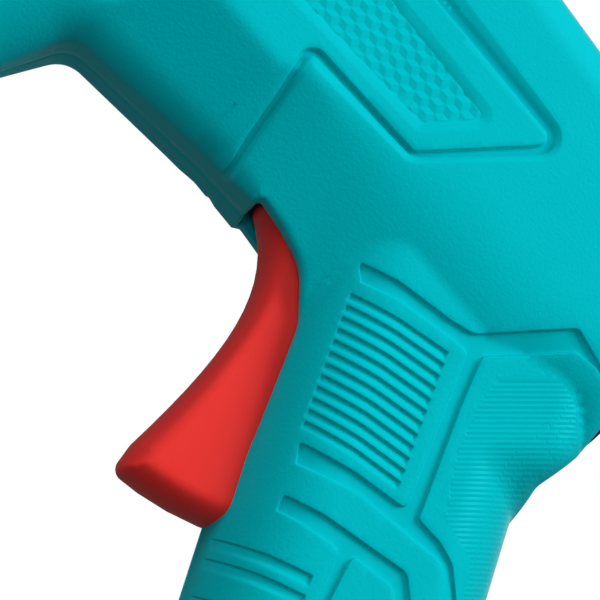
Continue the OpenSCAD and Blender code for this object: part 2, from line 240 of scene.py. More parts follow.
def rise(v, start, length):
    """0 before start, 1 from start + length, and straight between them."""
    return np.clip((v - start) / length, 0, 1)


def edge_drop(d, radius):
    """How far a round edge of this radius falls away, at distance d in from the outline."""
    d = np.clip(d, 0, radius)
    return radius - np.sqrt(np.maximum(radius**2 - (radius - d) ** 2, 0))


def soft_floor(v, width):
    """max(v, 0) with a round corner of this width."""
    return width * np.logaddexp(0, v / width)


# ---- moulded detail, as depths below the plain surface ----

# depth(s, w) gives the depth at signed distance s from the outline, and stations(w) the distances
# at which the mesh needs a row of points. w holds the values that the outline carries.
Detail = namedtuple("Detail", "shape reach depth stations")

STEP_AT = np.array([-0.7, -0.2, 0.2, 0.6, 1.0, 1.6])
STEP_SHARE = np.array([0.0, 0.05, 0.3, 0.72, 0.95, 1.0])
SHARP = 0.16


def recess(corners, depth):
    """Pocket with a flat floor. A corner may carry the width of its own wall."""

    def depth_at(s, w):
        return depth * np.interp(s / w[:, 0], STEP_AT, STEP_SHARE)

    def stations(w):
        return STEP_AT[:, None] * w[:, 0]

    shape = outline(corners, spare=(SHARP,))
    return Detail(shape, 1.6 * shape[:, 2].max() + 0.6, depth_at, stations)


FRONT_PANEL = [
    (-50.0, -30, 0), (-50.4, -24.7, 0), (-52.2, -19.5, 6), (-53.8, -13.5, 4),
    (-56.2, -6.4, 1.9, 0.9, 2.2), (-37.6, -5.9, 1.0, 0.5, 1.6), (-27.0, 8.1, 1.1, 1.0, 1.9),
    (-48.0, 8.6, 0, 1.2, 2.9), (-130, 11.8, 0, 1.2, 3.4), (-130, -60, 0), (-50.0, -60, 0),
]
GROOVE_DEPTH = 0.75
GROOVE_WALL = ([-0.1, -0.02, 0.1, 0.2], [0, 0.08, 0.92, 1])
GROOVE_RAMP = ([0, 0.08, 0.9, 1], [1, 0.7, 0.03, 0])
GROOVE_ROWS = [-0.1, -0.02, 0.1, 0.3, 0.5]
GROOVE_FLOOR = 0.62
RAMP_ROWS = [0.08, 0.5, 0.9, 1]
CREVICE_AT = [0.0, 0.1, 0.3, 0.5]
CREVICE_DROP = [0, 0.25, 0.25, 0]


def front_panel_groove():
    """Groove round the proud front body; its outer side ramps back up to the surface."""

    def depth_at(s, w):
        out = -s
        wall = np.interp(out, *GROOVE_WALL)
        ramp = rise(out, w[:, 0], w[:, 1] - w[:, 0])
        groove = GROOVE_DEPTH * wall * np.interp(ramp, *GROOVE_RAMP)
        return groove + np.interp(out, CREVICE_AT, CREVICE_DROP)

    def stations(w):
        floor, wide = w[:, 0], w[:, 1] - w[:, 0]
        beside = [0 * floor + k for k in GROOVE_ROWS]
        return -np.stack([*beside, np.maximum(floor, GROOVE_FLOOR), *(floor + k * wide for k in RAMP_ROWS)])

    return Detail(outline(FRONT_PANEL, spare=(0.8, 1.5)), 4.5, depth_at, stations)


BLOCK_FIELD = [
    (-35.0, 3.5, 0.5), (-39.6, -2.8, 0.7), (-58.6, -3.7, 0), (-105.5, -5.9, 0.8),
    (-101.0, 6.8, 0.8), (-51.7, 4.3, 0),
]
FIELD_DEPTH = 0.5
FIELD_AT = np.array([-1.45, -1.3, -0.08, 0.0, 0.1])
FIELD_DROP = np.array([0.0, 0.02, 0.7, 0.8, 1.0])
BLOCK_RIGHT = np.array([1.207, 0.0])
BLOCK_UP = np.array([-0.6035, 0.865])
BLOCK_ORIGIN = np.array([-40.0, 0.0])
BLOCK_HEIGHTS = np.array([0.26, 0.0, 0.13])
FIELD_EDGE = 0.09


def block_field():
    """Pocket whose floor carries the tumbling-block pattern."""

    def depth_at(s, w):
        return FIELD_DEPTH * np.interp(s, FIELD_AT, FIELD_DROP)

    def stations(w):
        return np.repeat(FIELD_AT[:, None], len(w), 1)

    return Detail(outline(BLOCK_FIELD, spare=(0,)), 2.2, depth_at, stations)


def lattice_place(points):
    basis = np.stack([BLOCK_RIGHT, BLOCK_UP], 1)
    return np.linalg.solve(basis, (points - BLOCK_ORIGIN).T).T


def block_relief(points):
    """Height of the tumbling blocks, linear over each triangle of their lattice."""
    place = lattice_place(points)
    cell = np.floor(place + 1e-6)
    a, b = (place - cell).T
    colour = cell.sum(1).astype(int)
    here, one, two = (BLOCK_HEIGHTS[(colour + k) % 3] for k in (0, 1, 2))
    return here * (1 - np.maximum(a, b)) + one * np.abs(a - b) + two * np.minimum(a, b)


def lattice_points(shape, inset):
    ends = lattice_place(box_corners(shape))
    i = np.arange(math.floor(ends[:, 0].min()), math.ceil(ends[:, 0].max()) + 1)
    j = np.arange(math.floor(ends[:, 1].min()), math.ceil(ends[:, 1].max()) + 1)
    i, j = (g.ravel() for g in np.meshgrid(i, j))
    points = BLOCK_ORIGIN + i[:, None] * BLOCK_RIGHT + j[:, None] * BLOCK_UP
    return points[nearest(points, shape)[0] > inset]


# Knurled pad at the back of the grip
KNURL_PAD = [
    (-10.6, -15.8, 0.8), (-5.4, -10.0, 0.8), (-2.0, -10.3, 1.0), (2.4, -13.0, 0.8),
    (2.6, -19.7, 1.0), (30.0, -66.0, 2.0), (20.0, -62.0, 2.0), (5.2, -34.4, 1.5),
    (3.0, -32.8, 0.8), (-2.2, -32.4, 0.8), (-7.2, -25.9, 1.0), (-10.0, -19.6, 1.0),
]
KNURL_ALONG, KNURL_ACROSS = 0.42, 0.62
KNURL_HEIGHT = 0.06
KNURL_TURN = math.radians(49)
KNURL_EDGE, KNURL_SMOOTH = 0.12, 0.8


def knurl_axes():
    c, n = math.cos(KNURL_TURN), math.sin(KNURL_TURN)
    return np.array([[KNURL_ALONG * c, KNURL_ALONG * n], [-KNURL_ACROSS * n, KNURL_ACROSS * c]])


def knurl_points(shape):
    """Peaks and hollows of the knurl, as two square grids half a pitch apart."""
    ends = box_corners(shape) @ np.linalg.inv(knurl_axes())
    first, last = np.floor(ends.min(0)), np.ceil(ends.max(0))
    i, j = np.meshgrid(np.arange(first[0], last[0] + 1), np.arange(first[1], last[1] + 1))
    grid = np.stack([i.ravel(), j.ravel()], 1)
    points = np.concatenate([grid, grid + 0.5]) @ knurl_axes()
    return points[nearest_inside(points, shape, KNURL_EDGE)]


def knurl_relief(points):
    """Height of the knurl's pyramids."""
    place = points @ np.linalg.inv(knurl_axes())
    off_middle = np.abs(place - np.floor(place) - 0.5)
    return KNURL_HEIGHT * (1 - 2 * off_middle.max(1))


def nearest_inside(points, shape, inset):
    near = near_box(points, shape, 0)
    keep = np.zeros(len(points), bool)
    keep[near] = nearest(points[near], shape)[0] > inset
    return keep


# Smooth channels that divide the grip into pads
CHANNELS = [
    (-31.9, -19.0, 0.3), (-26.9, -17.2, 4), (-19.5, -15.6, 4), (-16.4, -14.6, 2),
    (-8.6, -4.8, 0.9), (-3.5, -5.7, 0), (6.0, -7.6, 0), (6.0, -8.1, 0),
    (-3.5, -6.2, 0), (-6.6, -6.8, 0.8), (-13.6, -15.6, 0.8), (-11.2, -20.8, 3),
    (-4.2, -34.4, 0.7), (-0.4, -34.3, 2), (2.6, -34.9, 2), (6.1, -37.2, 3),
    (14.5, -45.0, 0), (13.5, -47.0, 0), (5.0, -38.3, 2), (1.2, -35.9, 2),
    (-3.1, -36.6, 2), (-11.1, -37.9, 4), (-18.7, -40.9, 0.3), (-20.4, -38.8, 0.3),
    (-13.2, -36.4, 4), (-6.2, -34.8, 0.6), (-15.4, -16.6, 0.8), (-19.7, -17.5, 4),
    (-25.2, -18.8, 4), (-29.9, -20.6, 0.3),
]
CHANNEL_DEPTH = 0.65

LOWER_CHANNELS = [
    (-16.9, -44.4, 0.3), (-12.0, -42.6, 4), (-0.4, -39.7, 1.6), (2.6, -41.8, 2),
    (16.0, -64.0, 2), (14.0, -65.4, 0.5), (1.2, -43.2, 1.2), (-0.6, -42.2, 1.2),
    (-6.2, -43.3, 0.6), (-4.1, -48.7, 0), (2.4, -60.5, 0.4), (1.0, -61.2, 0.4),
    (-8.0, -44.1, 0.8), (-13.3, -45.4, 3), (-16.1, -46.3, 0.3),
]

# Finger slots across the grip: first and last slot, left and right end
SLOTS = 12
SLOT_LEFT = ((-29.7, -22.3), (-21.8, -36.6))
SLOT_RIGHT = ((-16.7, -18.4), (-8.9, -33.1))
SLOT_WIDTH = 0.95
SLOT_DEPTH = 0.5
SOFT_WALL = 0.5
SLOT_BOW = 0.25


def slot(left, right, width):
    """Slot from left to right with a sharp upper wall and a soft lower one."""
    left, right = np.array(left), np.array(right)
    along = unit(right - left)
    down = np.array([along[1], -along[0]]) * width
    middle = (left + right) / 2 - unit(down) * SLOT_BOW
    upper = [(*left, 0.12, SHARP), (*middle, 12, SHARP), (*right, 0.12, SHARP)]
    lower = [(*(p + down), r, SOFT_WALL) for p, r in ((right, 0.12), (middle, 12), (left, 0.12))]
    return recess(upper + lower, SLOT_DEPTH)


def between(ends, share):
    a, b = (np.array(e) for e in ends)
    return a + (b - a) * share


def finger_slots():
    return [
        slot(between(SLOT_LEFT, k / (SLOTS - 1)), between(SLOT_RIGHT, k / (SLOTS - 1)), SLOT_WIDTH)
        for k in range(SLOTS)
    ]


# Two slots at a time further down the grip
PAIR_AT = (-18.3, -53.3)
PAIR_STEP = (3.6, -6.3)
PAIRS = 5
PAIR_RIGHT = (10.7, 4.9)
PAIR_NEXT = (1.2, -2.2)
PAIR_WIDTH = 1.4


def slot_pairs():
    details = []
    for k in range(PAIRS):
        start = np.array(PAIR_AT) + k * np.array(PAIR_STEP)
        for row in (0, 1):
            left = start + row * np.array(PAIR_NEXT)
            details.append(slot(left, left + np.array(PAIR_RIGHT), PAIR_WIDTH))
    return details


def shell_details():
    return [
        front_panel_groove(),
        block_field(),
        recess(CHANNELS, CHANNEL_DEPTH),
        recess(LOWER_CHANNELS, CHANNEL_DEPTH),
        *finger_slots(),
        *slot_pairs(),
    ]


# ---- housing surface ----

# Side outline: x, z, fillet, round edge's radius, 1 where it is the edge of the trigger's slot
SIDE = [
    (-4.2, 19.2, 5, 5.5, 0), (3.6, -13.3, 2.5, 3, 0), (3.0, -19.7, 2, 2.5, 0),
    (48.1, -96.5, 5, 1, 0), (6.3, -96.5, 4, 1, 0), (-19.6, -53.0, 0.6, 0.3, 0),
    (-20.2, -52.0, 0.6, 0.3, 1), (-24.0, -41.9, 15, 0.3, 1), (-30.9, -28.6, 8, 0.6, 1),
    (-36.0, -23.8, 8, 0.6, 1), (-41.0, -22.6, 5, 0.6, 1), (-45.2, -22.1, 0.6, 0.4, 1),
    (-45.9, -23.1, 0.3, 1.5, 0), (-53.7, -23.4, 5, 3.2, 0), (-75.6, -25.8, 4.0, 3.4, 0),
    (-78.9, -34.5, 6, 2.4, 0), (-82.0, -42.5, 3, 2.4, 0), (-86.0, -45.0, 2, 3, 0),
    (-114.0, -45.0, 7, 3, 0), (-116.5, -36.0, 5, 3, 0), (-119.0, -24.0, 3, 3, 0),
    (-122.0, -22.0, 1, 3, 0), (-122.0, 23.0, 3, 3, 0), (-110.0, 28.6, 8, 5.5, 0),
]
CREASE_LOW, CREASE_STEP, CREASE_DRIFT = -11.3, 2.1, 0.7
CREASE_SHARP, CREASE_SPREAD = 0.4, 2.2
CREASE_END, CREASE_CLEAR = -45, 2
CHIN_BACK, CHIN_LEAN, CHIN_TOP = -74.5, 0.35, -18.5
CHIN_FALL, CHIN_BLEND = 1.5, 1.2
THINNEST, UNTOUCHED = 0.35, 0.02
PINHOLE = 200
EDGE_ROWS = np.array([0.04, 0.16, 0.4, 0.8, 1.3, 2.0, 2.9, 4.0, 5.4])
CREASE_ROWS = np.array([-1.6, -1.0, -0.6, -0.3, 0.0, 0.3, 0.6, 1.0, 1.6])


def across_grip(x, z):
    return math.cos(RAKE) * x + math.sin(RAKE) * z


def crease_z(x):
    return CREASE_LOW + CREASE_STEP * rise(x, -56, 3) + CREASE_DRIFT * rise(x, -52, 20)


def plain_width(x, z):
    """Distance of the plain side from the seam: barrel flank, grip and chin, run together."""
    crease = CREASE_SHARP + CREASE_SPREAD * rise(x, -50, 20)
    flare = FRONT_FLARE * rise(x, -58, 12)
    slope = FLANK_SLOPE - flare + REAR_SLOPE * rise(x, -14, 12)
    barrel = BARREL_W - slope * soft_floor(crease_z(x) - z, crease)
    heel = rise(z, HEEL_LOW, HEEL_RISE)
    n = across_grip(x, z)
    behind = n - GRIP_BACK_FLAT - HEEL_REACH * heel**2 * (3 - 2 * heel)
    bulge = np.maximum((GRIP_FRONT_FLAT - n) / GRIP_FRONT_BULGE, behind / GRIP_BACK_BULGE)
    grip = GRIP_W * np.sqrt(np.clip(1 - np.clip(bulge, 0, 1) ** 2, 0, 1))
    high, low = np.maximum(barrel, grip), np.minimum(barrel, grip)
    near = np.exp((low - high) / GRIP_BLEND)
    side = high + GRIP_BLEND * (np.log1p(near) - 0.5 * near)
    inside_chin = np.minimum(CHIN_BACK + CHIN_LEAN * (z + 24) - x, CHIN_TOP - z)
    taper = CHIN_TAPER * soft_floor(-22 - z, 1) * rise(x, -94, 10)
    outside = CHIN_FALL * np.maximum(-inside_chin, 0)
    chin = CHIN_W - taper - edge_drop(inside_chin, CHIN_ROUND) - outside
    return side + soft_floor(chin - side, CHIN_BLEND)


def half_surface(points, side_shape, details):
    """Distance from the seam, depth of detail and share of smooth finish at each point."""
    x, z = points.T
    d, carried = nearest(points, side_shape)
    width = plain_width(x, z) - edge_drop(np.maximum(d, 0), carried[:, 0])
    depth = np.zeros(len(points))
    smooth = np.zeros(len(points))
    for detail in details:
        near = np.flatnonzero(near_box(points, detail.shape, detail.reach))
        if not len(near):
            continue
        s, w = nearest(points[near], detail.shape)
        cut = detail.depth(s, w)
        depth[near] = np.maximum(depth[near], cut)
        smooth[near] = np.maximum(smooth[near], np.clip(cut / 0.3, 0, 1))
    return width, depth, smooth, carried


def rows_beside(shape, line, stations, tolerance=0.03):
    """Rows of points beside an outline, from its closely spaced line, and the edges along them."""
    normal = inward(line)
    points, edges = [], []
    count = 0
    for offset in stations:
        row = line[:, :2] + normal * offset[:, None]
        good = np.abs(np.abs(nearest(row, shape)[0]) - np.abs(offset)) < tolerance
        index = np.cumsum(good) - 1 + count
        points.append(row[good])
        ahead = np.roll(good, -1)
        both = np.flatnonzero(good & ahead)
        edges.append(np.stack([index[both], index[(both + 1) % len(row)]], 1))
        count += int(good.sum())
    return np.concatenate(points), np.concatenate(edges)


def hex_grid(low, high, step):
    rows = np.arange(low[1], high[1], step * math.sqrt(0.75))
    parts = []
    for k, z in enumerate(rows):
        x = np.arange(low[0] + (k % 2) * step / 2, high[0], step)
        parts.append(np.stack([x, np.full(len(x), z)], 1))
    return np.concatenate(parts)


def triangulate(points, edges):
    """Delaunay triangles that keep these edges. Points may be added where edges cross."""
    out = delaunay_2d_cdt(
        [Vector(p) for p in points], [tuple(map(int, e)) for e in edges], [], 0, 1e-4, False
    )
    return np.array([tuple(v) for v in out[0]]), np.array([tuple(f) for f in out[2]], int)


def keep_faces(points, faces, test):
    return faces[test(points[faces].mean(1))]


def fill_outline(points, edges, shape):
    """Upward triangles inside a closed outline, and the points that they use."""
    points, faces = triangulate(points, edges)
    faces = keep_faces(points, faces, lambda p: nearest(p, shape)[0] > SLIVER)
    used = np.unique(faces)
    renumber = np.full(len(points), -1)
    renumber[used] = np.arange(len(used))
    return points[used], orient(points[used], renumber[faces])


def boundary(faces):
    """Edges used once, in the direction in which their face uses them."""
    edges = np.concatenate([faces[:, [0, 1]], faces[:, [1, 2]], faces[:, [2, 0]]])
    known = {(a, b) for a, b in edges.tolist()}
    return [(a, b) for a, b in edges.tolist() if (b, a) not in known]


def loops_of(edges):
    """Closed loops of vertex numbers from boundary edges."""
    follow = dict(edges)
    loops = []
    while follow:
        first, here = follow.popitem()
        loop = [first]
        while here != first:
            loop.append(here)
            here = follow.pop(here)
        loops.append(loop)
    return loops


def seam_width(points, slot_share, width):
    """Distance from the seam at which the wall of a half ends."""
    x, z = points.T
    end = np.full(len(points), SEAM_GAP)
    inlet = (x > -5) & (np.abs(z) < INLET_R)
    end = np.where(inlet, np.sqrt(np.maximum(INLET_R**2 - z**2, SEAM_GAP**2)), end)
    nose = (x < NOSE_X + 0.5) & (np.abs(z) < NOSE_BORE_R)
    end = np.where(nose, np.sqrt(np.maximum(NOSE_BORE_R**2 - z**2, SEAM_GAP**2)), end)
    end = np.where(slot_share > 0.5, SLOT_HALF, end)
    return np.minimum(end, width - 0.2)


def prune(points, edges, keep):
    """Leaves out points, and the edges that used them."""
    index = np.cumsum(keep) - 1
    edges = edges[keep[edges].all(1)]
    return points[keep], index[edges]


def gather_points(shape, details, wells):
    """Points and edges of the side's mesh: rows beside each outline and filler between them."""
    line = spaced(shape, ALONG)
    stations = np.repeat(np.concatenate([[0], EDGE_ROWS])[:, None], len(line), 1)
    around = rows_beside(shape, line, stations)
    points, edges = [around[0]], [around[1]]
    low, high = shape[:, :2].min(0), shape[:, :2].max(0)
    filler = hex_grid(low, high, FILLER)
    filler = filler[nearest(filler, shape)[0] > EDGE_ROWS[-2]]
    for detail in details:
        line = spaced(detail.shape, ALONG)
        row_points, row_edges = rows_beside(detail.shape, line, detail.stations(line[:, 2:]))
        inside = nearest_inside(row_points, shape, 0.06)
        row_points, row_edges = prune(row_points, row_edges, inside)
        edges.append(row_edges + sum(map(len, points)))
        points.append(row_points)
        near = np.flatnonzero(near_box(filler, detail.shape, detail.reach))
        if len(near):
            s, w = nearest(filler[near], detail.shape)
            gap = np.abs(s - detail.stations(w)).min(0)
            filler = np.delete(filler, near[gap < FILLER_GAP], 0)
    field, pad = outline(BLOCK_FIELD, spare=(0,)), outline(KNURL_PAD, spare=(0,))
    filler = filler[~nearest_inside(filler, field, 0)]
    filler = filler[~nearest_inside(filler, pad, 0)]
    crease_x = np.arange(NOSE_X + 2, CREASE_END, FILLER)
    crease = np.concatenate([np.stack([crease_x, crease_z(crease_x) + k], 1) for k in CREASE_ROWS])
    off_crease = np.abs(filler[:, 1] - crease_z(filler[:, 0])) > CREASE_CLEAR
    filler = filler[(filler[:, 0] > CREASE_END) | off_crease]
    pad_points = knurl_points(pad)
    pad_points = pad_points[nearest_inside(pad_points, shape, 0.1)]
    crease = crease[nearest_inside(crease, shape, 0.3)]
    loose = [filler, crease, lattice_points(field, 0.14), pad_points]
    for centre in wells:
        for r in SCREW_WELL_ROWS:
            loose.append(np.array(centre) + r * circle(48))
    return np.concatenate(points + loose), np.concatenate(edges)


def well_share(points, wells):
    share = np.zeros(len(points), bool)
    for centre in wells:
        share |= np.linalg.norm(points - np.array(centre), axis=1) < SCREW_WELL_R - 0.01
    return share


def wall_strip(points, widths, loops, slot_share):
    """Wall from the side's edge down to the seam: new vertices and faces, and the last row."""
    verts, faces, last = [], [], []
    count = len(points)
    for loop in map(np.array, loops):
        p, w = points[loop], widths[loop]
        end = seam_width(p, slot_share[loop], w)
        normal = inward(p)
        rows = [
            (p, end + (w - end) * 0.66),
            (p, end + (w - end) * 0.33),
            (p, end + np.minimum(SEAM_BEVEL, 0.3 * (w - end))),
            (p + SEAM_BEVEL / 2 * normal, end),
        ]
        ids = [loop]
        for place, y in rows:
            ids.append(np.arange(count, count + len(loop)))
            verts.append(np.stack([place[:, 0], y, place[:, 1]], 1))
            count += len(loop)
        for upper, lower in zip(ids, ids[1:]):
            faces.append(np.stack([upper, lower, np.roll(lower, -1), np.roll(upper, -1)], 1))
        last.append(ids[-1])
    return np.concatenate(verts), np.concatenate(faces), last


def half_housing(side):
    """Closed mesh of one half of the housing: side -1 or 1."""
    shape = outline(SIDE)
    details = shell_details()
    wells = SCREWS if side > 0 else []
    points, faces = fill_outline(*gather_points(shape, details, wells), shape)
    width, depth, smooth, carried = half_surface(points, shape, details)
    in_field = nearest_inside(points, outline(BLOCK_FIELD, spare=(0,)), FIELD_EDGE)
    depth[in_field] -= block_relief(points[in_field])
    in_pad = nearest_inside(points, outline(KNURL_PAD, spare=(0,)), KNURL_EDGE)
    depth -= np.where(in_pad & (depth < UNTOUCHED), knurl_relief(points), 0)
    y = np.maximum(width - depth, THINNEST)
    y[well_share(points, wells)] = SCREW_SEAT
    flat = in_field[faces].all(1) | in_pad[faces].all(1)
    loops = [loop for loop in loops_of(boundary(faces)) if len(loop) > PINHOLE]
    wall_verts, wall_faces, last = wall_strip(points, y, loops, carried[:, 1])
    top = np.stack([points[:, 0], y, points[:, 1]], 1)
    verts = np.concatenate([top, wall_verts])
    inner_verts, inner_faces = lining(shape, verts, last, wells)
    all_verts = np.concatenate([verts, inner_verts])
    all_faces = [*faces.tolist(), *wall_faces[:, ::-1].tolist(), *inner_faces]
    grain = np.ones(len(all_verts))
    grain[: len(points)] = np.where(in_field, 0, 1 - np.maximum(smooth, in_pad * KNURL_SMOOTH))
    all_verts[:, 1] *= side
    if side > 0:
        all_faces = [f[::-1] for f in all_faces]
    shell = new_mesh(sided("shell", side), all_verts, all_faces)
    set_flat(shell, flat)
    add_values(shell, "grain", grain)
    seal(shell)
    return shell


def lining(shape, verts, last, wells):
    """Rim along the seam and the inside face, as new vertices and faces."""
    loop = np.concatenate(last)
    p, y = verts[loop][:, [0, 2]], verts[loop][:, 1]
    line = spaced(shape, 2 * ALONG)
    inner = line[:, :2] + WALL * inward(line)
    inner = inner[nearest(inner, shape)[0] > WALL - 0.02]
    inner = inner[np.linalg.norm(inner - np.roll(inner, 1, 0), axis=1) > 0.1]
    joined = np.concatenate([p, inner])
    edges = loop_edges(len(p)) + loop_edges(len(inner), len(p))
    out_points, rim_faces = triangulate(joined, edges)
    rim_faces = keep_faces(
        out_points, rim_faces,
        lambda m: (nearest(m, p)[0] > SLIVER) & (nearest(m, inner)[0] < -SLIVER),
    )
    near_p = closest(out_points, p)
    base = len(verts)
    rim_verts = np.stack([out_points[:, 0], y[near_p], out_points[:, 1]], 1)
    exact = np.abs(out_points - p[near_p]).max(1) < 1e-3
    ids = np.where(exact, loop[near_p], base + np.arange(len(out_points)))
    rim_faces = orient(out_points, rim_faces, up=False)
    faces = [[int(ids[i]) for i in f] for f in rim_faces]
    # Inside face
    filler = hex_grid(inner.min(0), inner.max(0), COARSE)
    filler = filler[nearest(filler, inner)[0] > 0.4 * COARSE]
    for centre in wells:
        filler = np.concatenate([filler, *(centre + r * circle(16) for r in SCREW_BOSS_ROWS)])
    inside = np.concatenate([inner, filler])
    edges = loop_edges(len(inner))
    in_points, in_faces = triangulate(inside, edges)
    in_faces = keep_faces(in_points, in_faces, lambda m: nearest(m, inner)[0] > SLIVER)
    d, carried = nearest(in_points, shape)
    deep = plain_width(*in_points.T) - edge_drop(np.maximum(d, 0), carried[:, 0]) - WALL
    rim_y = y[closest(in_points, p)]
    on_edge = np.abs(d) < WALL + 0.6
    deep = np.where(on_edge, np.maximum(deep, rim_y + 0.15), np.maximum(deep, 0.6))
    for centre in wells:
        well = np.linalg.norm(in_points - centre, axis=1) < SCREW_BOSS_R
        deep[well] = np.minimum(deep[well], SCREW_SEAT - WALL)
    in_base = base + len(rim_verts)
    in_verts = np.stack([in_points[:, 0], deep, in_points[:, 1]], 1)
    in_faces = orient(in_points, in_faces, up=False)
    faces += [[int(in_base + i) for i in f] for f in in_faces]
    # Inner wall between the rim and the inside face
    rim_of = {tuple(np.round(q, 3)): int(ids[i]) for i, q in enumerate(out_points)}
    in_of = {tuple(np.round(q, 3)): in_base + i for i, q in enumerate(in_points)}
    for a, b in boundary(in_faces):
        ka, kb = tuple(np.round(in_points[a], 3)), tuple(np.round(in_points[b], 3))
        if ka in rim_of and kb in rim_of:
            faces.append([in_of[kb], in_of[ka], rim_of[ka], rim_of[kb]])
    return np.concatenate([rim_verts, in_verts]), faces


def orient(points, faces, up=True):
    a, b, c = (points[faces[:, k]] for k in range(3))
    sign = np.cross(b - a, c - a)
    wrong = sign < 0 if up else sign > 0
    faces = faces.copy()
    faces[wrong] = faces[wrong][:, ::-1]
    return faces


# ---- meshes ----


def sided(name, side):
    return name + ("_left" if side < 0 else "_right")


def new_mesh(name, verts, faces):
    """Smooth-shaded object from vertices in millimetres."""
    mesh = bpy.data.meshes.new(name)
    mesh.from_pydata((np.asarray(verts) * MM).tolist(), [], faces)
    mesh.polygons.foreach_set("use_smooth", [True] * len(mesh.polygons))
    mesh.update()
    piece = bpy.data.objects.new(name, mesh)
    bpy.context.scene.collection.objects.link(piece)
    return piece


def seal(piece):
    """Drops unused vertices, closes pinholes and turns every face outwards."""
    mesh = bmesh.new()
    mesh.from_mesh(piece.data)
    loose = [v for v in mesh.verts if not v.link_faces]
    bmesh.ops.delete(mesh, geom=loose, context="VERTS")
    open_edges = [e for e in mesh.edges if len(e.link_faces) == 1]
    bmesh.ops.holes_fill(mesh, edges=open_edges, sides=6)
    bmesh.ops.recalc_face_normals(mesh, faces=mesh.faces)
    mesh.to_mesh(piece.data)
    mesh.free()


def set_flat(piece, flat):
    """Leaves the first faces flat where asked."""
    smooth = np.ones(len(piece.data.polygons), bool)
    smooth[: len(flat)] = ~flat
    piece.data.polygons.foreach_set("use_smooth", smooth)


def add_values(piece, name, values):
    layer = piece.data.attributes.new(name, "FLOAT", "POINT")
    layer.data.foreach_set("value", np.asarray(values, np.float32))


def bezier(p, t):
    a, b, c, d = (np.array(q) for q in p)
    return (1 - t) ** 3 * a + 3 * t * (1 - t) ** 2 * b + 3 * t**2 * (1 - t) * c + t**3 * d


TRIGGER_FRONT = [(-45.6, -21.5), (-36.6, -25.5), (-34.0, -34.0), (-33.3, -52.5)]
TRIGGER_BACK = [(-14, -47), (-21, -32), (-29, -17), (-33, -11.5), (-41, -11.5), (-45, -17)]
FOOT_ANGLES = (82, 76, 70, 64, 60)
CROWN_ALONG, CROWN_REACH = [0, 0.3, 0.7, 1], [3.4, 2.6, 2.4, 3.4]
FOOT_CROWN, BACK_CROWN, CROWN_FLAT = 3.4, 1.2, 0.07
TRIGGER_ROWS = np.array([0.0, 0.03, 0.12, 0.28, 0.5, 0.8, 1.15, 1.7, 2.3, 2.8, 3.4])


def trigger_shape():
    front = [
        (*bezier(TRIGGER_FRONT, t), 1.5, np.interp(t, CROWN_ALONG, CROWN_REACH))
        for t in np.linspace(0, 1, 16)
    ]
    low = []
    for a in map(math.radians, FOOT_ANGLES):
        x, z = PIVOT[0] + TRIGGER_REACH * math.cos(a), PIVOT[1] - TRIGGER_REACH * math.sin(a)
        low.append((x, z, 1.6, FOOT_CROWN))
    back = [(*p, 0.5, BACK_CROWN) for p in TRIGGER_BACK]
    return outline(front + low + back, step=0.2)


def crown_width(d, reach):
    """Half the trigger's width at distance d in from its outline: an elliptic crown."""
    share = rise(d, -CROWN_FLAT, reach)
    return TRIGGER_HALF * np.sqrt(1 - (1 - share) ** 2)


def lever_blade():
    """Closed mesh of the trigger's blade: two equal sides joined by a wall."""
    shape = trigger_shape()
    line = spaced(shape, ALONG)
    points, edges = rows_beside(shape, line, np.repeat(TRIGGER_ROWS[:, None], len(line), 1))
    filler = hex_grid(shape.min(0), shape.max(0), 0.7)
    filler = filler[nearest(filler, shape)[0] > TRIGGER_ROWS[-1]]
    points, faces = fill_outline(np.concatenate([points, filler]), edges, shape)
    d, carried = nearest(points, shape)
    y = crown_width(np.maximum(d, 0), carried[:, 0])
    loop = np.array(max(loops_of(boundary(faces)), key=len))
    near = np.stack([points[:, 0], -y, points[:, 1]], 1)
    far = np.stack([points[:, 0], y, points[:, 1]], 1)
    verts = [near, far]
    rows = [loop]
    count = 2 * len(points)
    place = points[loop]
    for share in (0.6, 0.2, -0.2, -0.6):
        verts.append(np.stack([place[:, 0], -y[loop] * share, place[:, 1]], 1))
        rows.append(np.arange(count, count + len(loop)))
        count += len(loop)
    rows.append(loop + len(points))
    quads = []
    for upper, lower in zip(rows, rows[1:]):
        quads.append(np.stack([upper, np.roll(upper, -1), np.roll(lower, -1), lower], 1))
    all_faces = [faces, (faces + len(points))[:, ::-1], np.concatenate(quads)[:, ::-1]]
    return new_mesh("trigger_lever", np.concatenate(verts), sum((f.tolist() for f in all_faces), []))


# ---- turned trim and the trigger's drive ----

TURN_STEPS = 288
GLAND_Z = -82.0
COLLAR = [
    (-118.5, 10, 0.2), (-118.5, 13.9, 0.3), (-122, 13.9, 0), (-122, 16.6, 0.3),
    (-126, 16.6, 0.8), (-127.5, 15.6, 0.6), (-132, 12.6, 0.8), (-132, 10, 0.5),
]
COLLAR_FLUTES = (-126.0, -122.4, 15.5, 36, 0.45)
BOOT_BACK = [
    (-135, 8.8, 1.5), (-128, 9.4, 0.5), (-128, 6.6, 0.2), (-134, 6.6, 0),
    (-136, 5.8, 0), (-154, 4.4, 0), (-156.5, 3.1, 0.2), (-156.5, 5.4, 0.8),
    (-153, 6.8, 1.0),
]
BOOT_GROOVES = [-150.5, -148, -145.5, -143]
GLAND = [
    (30, 3.6, 0.2), (30, 7.2, 0.4), (32, 7.2, 0.3), (32, 5.6, 0),
    (46, 5.6, 0), (46, 7.8, 0.5), (47.5, 7.8, 0.5), (50, 6.2, 0.8),
    (50, 3.6, 0.4),
]
SPIGOT = [(36, 5.7, 0.1), (36, 8, 0.1), (46, 8, 0.5), (46, 5.7, 0.2)]
HUB = [(-10.3, 2.05, 0.1), (-10.3, 3.2, 0.3), (10.3, 3.2, 0.3), (10.3, 2.05, 0.1)]
ARM_IN, ARM_OUT, ARM_HALF = 8.4, 10.3, 2.9
ARM_RISE, ARM_LEAN = 20.5, math.radians(9)
